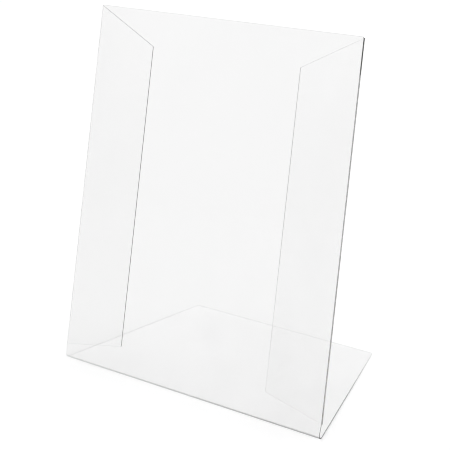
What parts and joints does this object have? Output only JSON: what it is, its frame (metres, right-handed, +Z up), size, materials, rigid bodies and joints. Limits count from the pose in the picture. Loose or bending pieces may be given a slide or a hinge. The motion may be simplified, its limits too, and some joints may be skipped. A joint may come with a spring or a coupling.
{
  "type": "sneeze guard",
  "caption": "Clear folded-sheet counter guard: a leaning front panel on a tapered base flange, with mitred side wings that fold flat behind the panel.",
  "frame": {"origin": "on the counter, at the middle of the guard's width and of its depth from the front of the bend to the rear edge of the base", "axes": "+Z up, +X to the right of a customer facing the guard, +Y away from the customer, towards the food"},
  "size_m": [0.6, 0.3462, 0.7043],
  "materials": {
    "clear_sheet": "clear gloss",
    "crease_web": "clear gloss"
  },
  "bodies": {
    "stand": {"front_panel": "clear_sheet", "base_bend": "clear_sheet", "base_flange": "clear_sheet", "left_crease": "crease_web", "right_crease": "crease_web"},
    "left_wing_body": {"left_wing": "clear_sheet"},
    "right_wing_body": {"right_wing": "clear_sheet"}
  },
  "joints": [
    {"name": "left_wing_fold", "type": "hinge", "parent": "stand", "child": "left_wing_body", "pos_m": [-0.2995, -0.09503, 0.36486], "axis": [0, 0.2079, 0.9781], "range_deg": [-3, 176]},
    {"name": "right_wing_fold", "type": "hinge", "parent": "stand", "child": "right_wing_body", "pos_m": [0.2995, -0.09503, 0.36486], "axis": [0, -0.2079, -0.9781], "range_deg": [-3, 176]}
  ]
}
